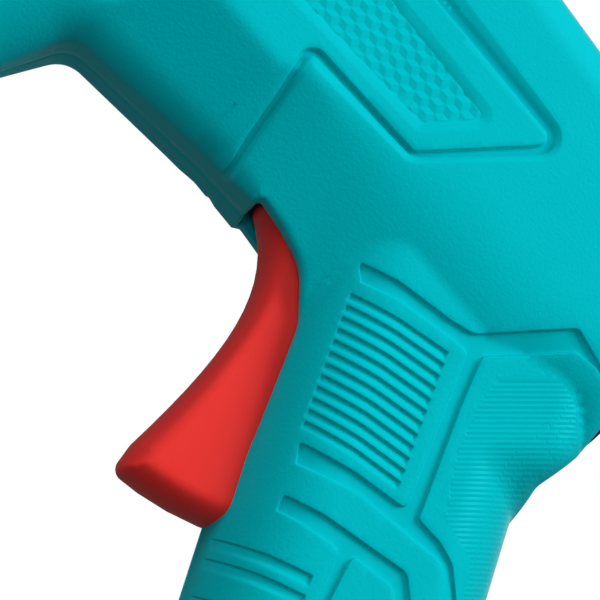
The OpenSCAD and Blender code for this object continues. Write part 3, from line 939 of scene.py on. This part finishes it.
ARM_SLOT_HALF = 1.55
SPRING_FRONT, SPRING_REAR = -53.5, -43.05
SPRING_R, SPRING_WIRE, SPRING_TURNS = 7.7, 0.4, 5


def spring_coil():
    """Return spring round the guide, with its end half-turns lying flat."""
    steps, sides = SPRING_TURNS * 40, 12
    turn = np.linspace(0, SPRING_TURNS, steps + 1)
    share = np.clip((turn - 0.5) / (SPRING_TURNS - 1), 0, 1)
    angle = 2 * math.pi * turn
    x = SPRING_FRONT + (SPRING_REAR - SPRING_FRONT) * share
    path = np.stack([x, SPRING_R * np.cos(angle), SPRING_R * np.sin(angle)], 1)
    out = np.stack([0 * angle, np.cos(angle), np.sin(angle)], 1)
    along = np.gradient(path, axis=0)
    along /= np.linalg.norm(along, axis=1)[:, None]
    across = np.cross(along, out)
    spokes = np.linspace(0, 2 * math.pi, sides, endpoint=False)
    rings = (
        path[:, None]
        + SPRING_WIRE * np.cos(spokes)[None, :, None] * out[:, None]
        + SPRING_WIRE * np.sin(spokes)[None, :, None] * across[:, None]
    )
    faces = ring_faces(steps + 1, sides, closed=False)
    faces += [list(range(sides)), list(range(sides * steps, sides * (steps + 1)))]
    piece = new_mesh("return_coil", rings.reshape(-1, 3), faces)
    seal(piece)
    return piece


def boot_profile():
    """Tapered boot with finger grooves round its front."""
    corners = []
    for x in BOOT_GROOVES:
        r = 6.8 + (x + 153) / 9
        corners += [
            (x - 0.5, r, 0.25),
            (x - 0.2, r - 0.45, 0.15),
            (x + 0.5, r - 0.4, 0.15),
            (x + 0.8, r + 0.1, 0.25),
        ]
    return corners + BOOT_BACK


def swept(line, angles, flutes):
    """Radius at each angle and profile point, with shallow flutes along one band."""
    radius = np.repeat(line[None, :, 1], len(angles), 0)
    if flutes:
        low, high, least, count, depth = flutes
        along = line[:, 0]
        ends = np.clip(np.minimum(along - low, high - along) / 0.6, 0, 1)
        share = np.where(line[:, 1] > least, ends, 0)
        radius -= depth * share * (0.5 + 0.5 * np.cos(count * angles))[:, None] ** 2
    return radius


def turned_piece(name, corners, centre_z=0.0, flutes=None):
    """Ring turned about a line along X, from a closed profile of (x, radius, fillet)."""
    line = spaced(outline(corners, step=0.15), 0.5)
    angles = np.linspace(0, 2 * math.pi, TURN_STEPS, endpoint=False)
    radius = swept(line, angles, flutes)
    x = np.repeat(line[None, :, 0], TURN_STEPS, 0)
    y = radius * np.sin(angles)[:, None]
    z = centre_z + radius * np.cos(angles)[:, None]
    piece = new_mesh(name, np.stack([x, y, z], 2).reshape(-1, 3), ring_faces(TURN_STEPS, len(line)))
    seal(piece)
    return piece


def ring_faces(turns, around, closed=True):
    """Quads between turns of a closed profile."""
    ids = np.arange(turns * around).reshape(turns, around)
    ahead = np.roll(ids, -1, 0) if closed else ids[1:]
    here = ids if closed else ids[:-1]
    quads = np.stack([here, ahead, np.roll(ahead, -1, 1), np.roll(here, -1, 1)], 2)
    return quads.reshape(-1, 4).tolist()


def spigot_half(side):
    """Half of the tube that holds the cord gland, closed along the seam."""
    line = outline(SPIGOT, step=0.15)
    angles = np.linspace(0.004, math.pi - 0.004, TURN_STEPS // 2)
    x = np.repeat(line[None, :, 0], len(angles), 0)
    y = side * line[:, 1] * np.sin(angles)[:, None]
    z = GLAND_Z + line[:, 1] * np.cos(angles)[:, None]
    count = len(line)
    faces = ring_faces(len(angles), count, closed=False)
    faces += [list(range(count)), list(range(count * (len(angles) - 1), count * len(angles)))]
    piece = new_mesh(sided("cord_spigot", side), np.stack([x, y, z], 2).reshape(-1, 3), faces)
    add_values(piece, "grain", np.ones(x.size))
    seal(piece)
    return piece


def trigger_hub():
    """Pivot tube of the trigger, turned about the pin."""
    line = spaced(outline(HUB, step=0.15), 1.0)
    angles = np.linspace(0, 2 * math.pi, TURN_STEPS // 3, endpoint=False)
    y = np.repeat(line[None, :, 0], len(angles), 0)
    x = PIVOT[0] + line[:, 1] * np.cos(angles)[:, None]
    z = PIVOT[1] + line[:, 1] * np.sin(angles)[:, None]
    verts = np.stack([x, y, z], 2).reshape(-1, 3)
    piece = new_mesh("trigger_hub", verts, ring_faces(len(angles), len(line)))
    seal(piece)
    return piece


def upright(half, low, high, low_fillet, high_fillet):
    """Outline of an upright rectangle with round corners."""
    foot = [(-half, low, low_fillet), (half, low, low_fillet)]
    return outline(foot + [(half, high, high_fillet), (-half, high, high_fillet)])


def trigger_arm(side):
    """Forked arm that drives the carriage, with an oblong hole for its trunnion."""
    outer = upright(ARM_HALF, 0, ARM_RISE + 4, 0.3, 1.2)
    hole = upright(ARM_SLOT_HALF, ARM_RISE - 2, ARM_RISE + 2.2, 0.4, 0.4)
    points = np.concatenate([outer, hole])
    edges = loop_edges(len(outer)) + loop_edges(len(hole), len(outer))
    points, faces = triangulate(points, edges)
    faces = keep_faces(
        points, faces,
        lambda p: (nearest(p, outer)[0] > SLIVER) & (nearest(p, hole)[0] < -SLIVER),
    )
    faces = orient(points, faces)
    walls = [[a, b, b + len(points), a + len(points)] for a, b in boundary(faces)]
    c, n = math.cos(ARM_LEAN), math.sin(ARM_LEAN)
    x = PIVOT[0] + c * points[:, 0] + n * points[:, 1]
    z = PIVOT[1] - n * points[:, 0] + c * points[:, 1]
    verts = [np.stack([x, np.full(len(x), side * y), z], 1) for y in (ARM_IN, ARM_OUT)]
    all_faces = [*faces.tolist(), *(faces + len(points)).tolist(), *walls]
    piece = new_mesh(sided("trigger_arm", side), np.concatenate(verts), all_faces)
    set_flat(piece, np.ones(len(all_faces), bool))
    seal(piece)
    return piece


# ---- materials ----


# Colour sockets of the Mix node
MIX_A, MIX_B, MIX_RESULT = 6, 7, 2
SHELL_COLOURS = ((0.0, 0.50, 0.565), (0.0, 0.545, 0.61))
TRIGGER_COLOURS = ((0.90, 0.036, 0.032), (0.96, 0.048, 0.042))
FLOOR_COLOURS = ((0.78, 0.78, 0.78), (0.82, 0.82, 0.81))
# Low and high colour, roughness, metal, scale, bump depth and stretch
FINISHES = {
    "trim_plastic": ((0.012, 0.012, 0.013), (0.02, 0.02, 0.021), 0.5, 0, 900),
    "feed_plastic": ((0.10, 0.105, 0.11), (0.13, 0.135, 0.14), 0.45),
    "sleeve_silicone": ((0.42, 0.05, 0.035), (0.5, 0.07, 0.05), 0.7),
    "boot_silicone": ((0.014, 0.014, 0.015), (0.024, 0.024, 0.026), 0.72, 0, 700),
    "pad_rubber": ((0.012, 0.012, 0.013), (0.02, 0.02, 0.02), 0.8, 0, 900),
    "ceramic": ((0.62, 0.58, 0.48), (0.7, 0.66, 0.57), 0.75, 0, 700),
    "chamber_alloy": ((0.55, 0.56, 0.57), (0.66, 0.67, 0.68), 0.42, 1, 500),
    "nozzle_brass": ((0.6, 0.42, 0.16), (0.72, 0.53, 0.23), 0.28, 1, 60, 0.00002, (90, 1, 1)),
    "pin_steel": ((0.5, 0.5, 0.51), (0.6, 0.6, 0.62), 0.3, 1, 600),
    "spring_steel": ((0.42, 0.42, 0.44), (0.52, 0.52, 0.54), 0.35, 1, 600),
    "screw_steel": ((0.52, 0.53, 0.55), (0.64, 0.65, 0.67), 0.3, 1, 800),
    "stand_wire": ((0.62, 0.62, 0.64), (0.72, 0.72, 0.74), 0.2, 1, 500),
    "lead_brown": ((0.17, 0.05, 0.015), (0.2, 0.065, 0.02), 0.45),
    "lead_blue": ((0.012, 0.07, 0.42), (0.02, 0.09, 0.48), 0.45),
}


def new_material(name):
    material = bpy.data.materials.new(name)
    material.use_nodes = True
    nodes = material.node_tree.nodes
    return material, nodes, material.node_tree.links, nodes["Principled BSDF"]


def set_inputs(node, **inputs):
    """Sets sockets by name, with _ for each space."""
    for key, value in inputs.items():
        node.inputs[key.replace("_", " ")].default_value = value
    return node


def add_node(nodes, kind, **inputs):
    return set_inputs(nodes.new(kind), **inputs)


def noise(nodes, links, scale, detail=3.0, rough=0.5, stretch=None):
    place = nodes.new("ShaderNodeTexCoord").outputs["Object"]
    if stretch:
        mapping = add_node(nodes, "ShaderNodeMapping", Scale=stretch)
        links.new(place, mapping.inputs["Vector"])
        place = mapping.outputs["Vector"]
    node = add_node(nodes, "ShaderNodeTexNoise", Scale=scale, Detail=detail, Roughness=rough)
    links.new(place, node.inputs["Vector"])
    return node.outputs["Fac"]


def ramp(nodes, links, source, low, high, out_low, out_high):
    node = add_node(nodes, "ShaderNodeMapRange", From_Min=low, From_Max=high)
    set_inputs(node, To_Min=out_low, To_Max=out_high)
    links.new(source, node.inputs["Value"])
    return node.outputs["Result"]


def maths(nodes, links, operation, a, b):
    node = nodes.new("ShaderNodeMath")
    node.operation = operation
    for k, value in enumerate((a, b)):
        if isinstance(value, (int, float)):
            node.inputs[k].default_value = value
        else:
            links.new(value, node.inputs[k])
    return node.outputs[0]


def blend_colour(nodes, links, factor, a, b):
    node = nodes.new("ShaderNodeMix")
    node.data_type = "RGBA"
    links.new(factor, node.inputs["Factor"])
    node.inputs[MIX_A].default_value = (*a, 1)
    node.inputs[MIX_B].default_value = (*b, 1)
    return node.outputs[MIX_RESULT]


def bump(nodes, links, height, distance, strength):
    node = add_node(nodes, "ShaderNodeBump", Strength=strength, Distance=distance)
    links.new(height, node.inputs["Height"])
    return node.outputs["Normal"]


def value_layer(nodes, name):
    node = nodes.new("ShaderNodeAttribute")
    node.attribute_name = name
    return node.outputs["Fac"]


def shell_plastic():
    """Teal ABS: spark-eroded grain on the body, smooth and glossier in channels."""
    material, nodes, links, shader = new_material("shell_plastic")
    grain = value_layer(nodes, "grain")
    coarse = noise(nodes, links, 2300, 2.0, 0.55)
    fine = noise(nodes, links, 5200, 2.0, 0.5)
    height = maths(nodes, links, "ADD", coarse, maths(nodes, links, "MULTIPLY", fine, 0.35))
    height = maths(nodes, links, "MULTIPLY", height, grain)
    links.new(bump(nodes, links, height, 0.00008, 0.55), shader.inputs["Normal"])
    cloud = noise(nodes, links, 60, 3.0)
    links.new(blend_colour(nodes, links, cloud, *SHELL_COLOURS), shader.inputs["Base Color"])
    rough = ramp(nodes, links, grain, 0, 1, 0.34, 0.52)
    rough = maths(nodes, links, "ADD", rough, ramp(nodes, links, cloud, 0.3, 0.7, -0.03, 0.03))
    links.new(rough, shader.inputs["Roughness"])
    set_inputs(shader, Specular_IOR_Level=0.1, Specular_Tint=(0.05, 0.85, 0.9, 1))
    return material


def trigger_plastic():
    """Red ABS with a satin face and faint rubbing."""
    material, nodes, links, shader = new_material("trigger_plastic")
    cloud = noise(nodes, links, 90, 4.0)
    links.new(blend_colour(nodes, links, cloud, *TRIGGER_COLOURS), shader.inputs["Base Color"])
    fine = noise(nodes, links, 2600, 3.0)
    links.new(bump(nodes, links, fine, 0.00002, 0.25), shader.inputs["Normal"])
    links.new(ramp(nodes, links, cloud, 0.3, 0.7, 0.36, 0.46), shader.inputs["Roughness"])
    set_inputs(shader, Specular_IOR_Level=0.12, Specular_Tint=(1.0, 0.35, 0.3, 1))
    return material


def simple(name, low, high, rough, metal=0.0, scale=400, depth=0.00003, stretch=None):
    """Plain moulded, turned or drawn finish with slight variation."""
    material, nodes, links, shader = new_material(name)
    cloud = noise(nodes, links, scale * 0.25, 4.0)
    links.new(blend_colour(nodes, links, cloud, low, high), shader.inputs["Base Color"])
    fine = noise(nodes, links, scale, 4.0, stretch=stretch)
    links.new(bump(nodes, links, fine, depth, 0.5), shader.inputs["Normal"])
    links.new(ramp(nodes, links, cloud, 0.3, 0.7, rough - 0.06, rough + 0.06), shader.inputs["Roughness"])
    set_inputs(shader, Metallic=metal)
    return material


# ---- stage, light and camera ----

FLOOR_REACH, FLOOR_DROP, FLOOR_GLOW = 3.0, 0.0002, 0.6
WORLD_LIGHT, WORLD_SEEN = 0.13, 1.0
LIGHT_TARGET = (-0.03, 0, -0.03)
# Name, place, size, power and whether reflections see it
LIGHTS = [
    ("key", (0.2, -0.45, 0.5), 0.34, 4.3, True),
    ("fill", (-0.1, -0.8, -0.02), 0.5, 1.4, True),
    ("side", (-0.6, -0.25, 0.1), 0.4, 1.1, True),
    ("back", (0.1, 0.6, 0.4), 0.5, 0.8, True),
    ("behind", (0.0, 0.75, 0.1), 0.5, 2.2, False),
]


def place_camera():
    rise, roll = CAMERA_RISE, CAMERA_ROLL
    ahead = Vector((0, math.cos(rise), math.sin(rise)))
    up = Vector((0, -math.sin(rise), math.cos(rise)))
    right = Vector((1, 0, 0))
    turned_right = math.cos(roll) * right + math.sin(roll) * up
    turned_up = -math.sin(roll) * right + math.cos(roll) * up
    place = (Vector(AIM) - CAMERA_DISTANCE * ahead) * MM
    camera = bpy.data.objects.new("camera", bpy.data.cameras.new("camera"))
    camera.data.sensor_width = SENSOR
    camera.data.lens = SENSOR * CAMERA_DISTANCE / VIEW_WIDTH
    camera.data.clip_start = 0.01
    turn = Matrix([turned_right, turned_up, -ahead]).transposed()
    camera.matrix_world = Matrix.Translation(place) @ turn.to_4x4()
    bpy.context.scene.collection.objects.link(camera)
    bpy.context.scene.camera = camera


def area_light(name, place, size, power, in_gloss):
    light = bpy.data.lights.new(name, "AREA")
    light.size = size
    light.energy = power
    lamp = bpy.data.objects.new(name, light)
    lamp.location = place
    lamp.rotation_euler = (Vector(LIGHT_TARGET) - Vector(place)).to_track_quat("-Z", "Y").to_euler()
    lamp.visible_glossy = in_gloss
    bpy.context.scene.collection.objects.link(lamp)


def light_world():
    """White behind the object and dim light from all round."""
    world = bpy.data.worlds.new("studio")
    bpy.context.scene.world = world
    world.use_nodes = True
    nodes, links = world.node_tree.nodes, world.node_tree.links
    background = nodes["Background"]
    path = nodes.new("ShaderNodeLightPath")
    strength = ramp(nodes, links, path.outputs["Is Camera Ray"], 0, 1, WORLD_LIGHT, WORLD_SEEN)
    links.new(strength, background.inputs["Strength"])
    background.inputs["Color"].default_value = (1, 1, 1, 1)


def build_stage():
    """Pale floor, hidden from the rays that would light or darken the gun."""
    floor_mesh = bpy.data.meshes.new("floor")
    r = FLOOR_REACH
    z = cad_box[0][2] - FLOOR_DROP
    floor_mesh.from_pydata([(-r, -r, z), (r, -r, z), (r, r, z), (-r, r, z)], [], [(0, 1, 2, 3)])
    floor = bpy.data.objects.new("floor", floor_mesh)
    bpy.context.scene.collection.objects.link(floor)
    material, nodes, links, shader = new_material("floor_paint")
    colour = blend_colour(nodes, links, noise(nodes, links, 3), *FLOOR_COLOURS)
    links.new(colour, shader.inputs["Base Color"])
    set_inputs(shader, Roughness=0.9, Emission_Color=(1, 1, 1, 1), Emission_Strength=FLOOR_GLOW)
    floor_mesh.materials.append(material)
    floor.visible_diffuse = False
    floor.visible_glossy = False
    floor.visible_shadow = False


def build_lights():
    for row in LIGHTS:
        area_light(*row)
    bpy.context.scene.view_settings.view_transform = "Standard"
    light_world()


def dress(piece, material):
    piece.data.materials.clear()
    piece.data.materials.append(material)


def settle(piece, material, body):
    dress(piece, material)
    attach(piece, body)


def build():
    place_camera()
    build_stage()
    build_lights()
    teal, red = shell_plastic(), trigger_plastic()
    for side, node in ((-1, "housing_left"), (1, "housing_right")):
        shell = half_housing(side)
        settle(shell, teal, "housing")
        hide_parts(node)
    lever = lever_blade()
    settle(lever, red, "trigger")
    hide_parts("trigger")
    finishes = {name: simple(name, *row) for name, row in FINISHES.items()}
    finishes["shell"] = teal
    finishes["trigger_plastic"] = red
    for side in (-1, 1):
        settle(spigot_half(side), teal, "housing")
        settle(trigger_arm(side), red, "trigger")
    settle(trigger_hub(), red, "trigger")
    turned = [
        ("collar_ring", COLLAR, 0.0, COLLAR_FLUTES, "front_collar", "trim_plastic"),
        ("boot_sleeve", boot_profile(), 0.0, None, "nozzle_boot", "boot_silicone"),
        ("gland_boot", GLAND, GLAND_Z, None, "cord_gland", "boot_silicone"),
    ]
    for name, corners, centre_z, flutes, node, slot_name in turned:
        piece = turned_piece(name, corners, centre_z, flutes)
        settle(piece, finishes[slot_name], "housing")
        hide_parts(node)
    spring = spring_coil()
    settle(spring, finishes["spring_steel"], "housing")
    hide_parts("return_spring")
    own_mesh(spring)
    for part in frame["record"]["subparts"]:
        dress(frame["nodes"][part["node"]], finishes[part["material_slot"]])


build()
